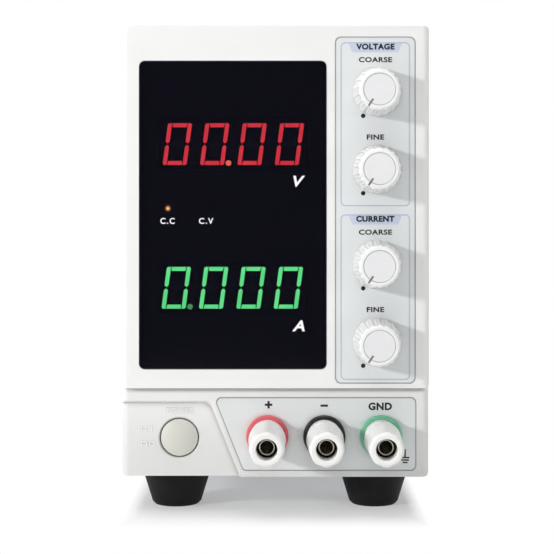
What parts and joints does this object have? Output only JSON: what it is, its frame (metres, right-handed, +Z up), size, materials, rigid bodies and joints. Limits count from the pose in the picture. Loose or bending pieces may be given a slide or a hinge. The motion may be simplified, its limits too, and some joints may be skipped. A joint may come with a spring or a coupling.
{
  "type": "bench power supply",
  "caption": "Upright bench power supply with a smoked display window, turning knobs, a power button, screw-down binding posts with plug sockets, and a fan at the back.",
  "frame": {"origin": "centre of the footprint of the whole part, on the surface that the feet stand on", "axes": "+Z up, -Y towards the user at the front panel, +X to the user's right"},
  "size_m": [0.103, 0.2909, 0.1638],
  "materials": {
    "bezel_plastic": "fine moulded texture",
    "window_acrylic": "smoked, polished",
    "overlay_film": "printed polycarbonate film",
    "plated_steel": "zinc plated",
    "rear_paint": "fine powder coat",
    "cover_paint": "fine powder coat",
    "foot_rubber": "matt",
    "screw_steel": "zinc plated",
    "button_plastic": "satin",
    "switch_plastic": "satin",
    "pot_shell": "satin",
    "nut_steel": "satin",
    "stud_brass": "machined",
    "circuit_board": "solder mask",
    "display_plastic": "satin",
    "lamp_plastic": "clear moulded",
    "core_steel": "varnished",
    "winding_copper": "wound tape",
    "capacitor_can": "shrunk sleeve",
    "sink_aluminium": "extruded",
    "transistor_plastic": "moulded",
    "fan_plastic": "moulded",
    "guard_wire": "plated wire",
    "inlet_plastic": "moulded",
    "pin_steel": "nickel plated",
    "fuse_glass": "clear tube",
    "slider_plastic": "moulded",
    "red_plastic": "moulded",
    "black_plastic": "moulded",
    "green_plastic": "moulded",
    "knob_plastic": "satin",
    "knob_disc_plastic": "satin",
    "shaft_steel": "machined",
    "post_plastic": "moulded"
  },
  "bodies": {
    "case": {"front_bezel": "bezel_plastic", "display_window": "window_acrylic", "control_overlay": "overlay_film", "terminal_overlay": "overlay_film", "base_chassis": "plated_steel", "rear_panel": "rear_paint", "top_cover": "cover_paint", "foot_screws": "screw_steel", "case_screws": "screw_steel", "fan_screws": "screw_steel", "power_switch": "switch_plastic", "potentiometers": "pot_shell", "pot_nuts": "nut_steel", "post_studs": "stud_brass", "post_nuts": "nut_steel", "display_board": "circuit_board", "voltage_display": "display_plastic", "current_display": "display_plastic", "mode_lamps": "lamp_plastic", "transformer_core": "core_steel", "transformer_windings": "winding_copper", "main_board": "circuit_board", "filter_capacitors": "capacitor_can", "heat_sink": "sink_aluminium", "power_transistors": "transistor_plastic", "fan_frame": "fan_plastic", "fan_guard": "guard_wire", "inlet_socket": "inlet_plastic", "inlet_pins": "pin_steel", "voltage_selector": "inlet_plastic", "positive_collar": "red_plastic", "negative_collar": "black_plastic", "ground_collar": "green_plastic", "foot_front_left": "foot_rubber", "foot_front_right": "foot_rubber", "foot_rear_left": "foot_rubber", "foot_rear_right": "foot_rubber"},
    "voltage_coarse": {"voltage_coarse_knob": "knob_plastic", "voltage_coarse_cap": "knob_disc_plastic", "voltage_coarse_shaft": "shaft_steel"},
    "voltage_fine": {"voltage_fine_knob": "knob_plastic", "voltage_fine_cap": "knob_disc_plastic", "voltage_fine_shaft": "shaft_steel"},
    "current_coarse": {"current_coarse_knob": "knob_plastic", "current_coarse_cap": "knob_disc_plastic", "current_coarse_shaft": "shaft_steel"},
    "current_fine": {"current_fine_knob": "knob_plastic", "current_fine_cap": "knob_disc_plastic", "current_fine_shaft": "shaft_steel"},
    "power_plunger": {"power_button": "button_plastic"},
    "positive_clamp": {"positive_washer": "shaft_steel"},
    "positive_screw_cap": {"positive_cap": "post_plastic"},
    "negative_clamp": {"negative_washer": "shaft_steel"},
    "negative_screw_cap": {"negative_cap": "post_plastic"},
    "ground_clamp": {"ground_washer": "shaft_steel"},
    "ground_screw_cap": {"ground_cap": "post_plastic"},
    "fan_wheel": {"fan_rotor": "fan_plastic"},
    "fuse_carrier": {"fuse_drawer": "inlet_plastic", "fuse": "fuse_glass"},
    "voltage_slider": {"selector_slider": "slider_plastic"}
  },
  "joints": [
    {"name": "voltage_coarse_turn", "type": "hinge", "parent": "case", "child": "voltage_coarse", "pos_m": [0.03395, -0.11922, 0.1418], "axis": [0, 1, 0], "range_deg": [0, 300]},
    {"name": "voltage_fine_turn", "type": "hinge", "parent": "case", "child": "voltage_fine", "pos_m": [0.03395, -0.11922, 0.116], "axis": [0, 1, 0], "range_deg": [0, 300]},
    {"name": "current_coarse_turn", "type": "hinge", "parent": "case", "child": "current_coarse", "pos_m": [0.03395, -0.11922, 0.0843], "axis": [0, 1, 0], "range_deg": [0, 300]},
    {"name": "current_fine_turn", "type": "hinge", "parent": "case", "child": "current_fine", "pos_m": [0.03395, -0.11922, 0.0585], "axis": [0, 1, 0], "range_deg": [0, 300]},
    {"name": "power_press", "type": "slide", "parent": "case", "child": "power_plunger", "axis": [0, 1, 0], "range_m": [-0.003, 0.0008], "stiffness_N_per_m": 150},
    {"name": "positive_clamp_lift", "type": "slide", "parent": "case", "child": "positive_clamp", "axis": [0, -1, 0], "range_m": [0, 0.004]},
    {"name": "positive_cap_turn", "type": "hinge", "parent": "positive_clamp", "child": "positive_screw_cap", "pos_m": [-0.0026, -0.11818, 0.0267], "axis": [0, -1, 0], "range_deg": [0, 1440]},
    {"name": "negative_clamp_lift", "type": "slide", "parent": "case", "child": "negative_clamp", "axis": [0, -1, 0], "range_m": [0, 0.004]},
    {"name": "negative_cap_turn", "type": "hinge", "parent": "negative_clamp", "child": "negative_screw_cap", "pos_m": [0.01645, -0.11818, 0.0267], "axis": [0, -1, 0], "range_deg": [0, 1440]},
    {"name": "ground_clamp_lift", "type": "slide", "parent": "case", "child": "ground_clamp", "axis": [0, -1, 0], "range_m": [0, 0.004]},
    {"name": "ground_cap_turn", "type": "hinge", "parent": "ground_clamp", "child": "ground_screw_cap", "pos_m": [0.0355, -0.11818, 0.0267], "axis": [0, -1, 0], "range_deg": [0, 1440]},
    {"name": "fan_spin", "type": "hinge", "parent": "case", "child": "fan_wheel", "pos_m": [0, 0.12757, 0.1138], "axis": [0, 1, 0], "continuous": true},
    {"name": "fuse_drawer_slide", "type": "slide", "parent": "case", "child": "fuse_carrier", "axis": [0, 1, 0], "range_m": [0, 0.015]},
    {"name": "voltage_select", "type": "slide", "parent": "case", "child": "voltage_slider", "axis": [1, 0, 0], "range_m": [-0.005, 0]}
  ],
  "couplings": [
    {"joint": "positive_cap_turn", "follows": "positive_clamp_lift", "rad_per_m": 6283},
    {"joint": "negative_cap_turn", "follows": "negative_clamp_lift", "rad_per_m": 6283},
    {"joint": "ground_cap_turn", "follows": "ground_clamp_lift", "rad_per_m": 6283}
  ]
}
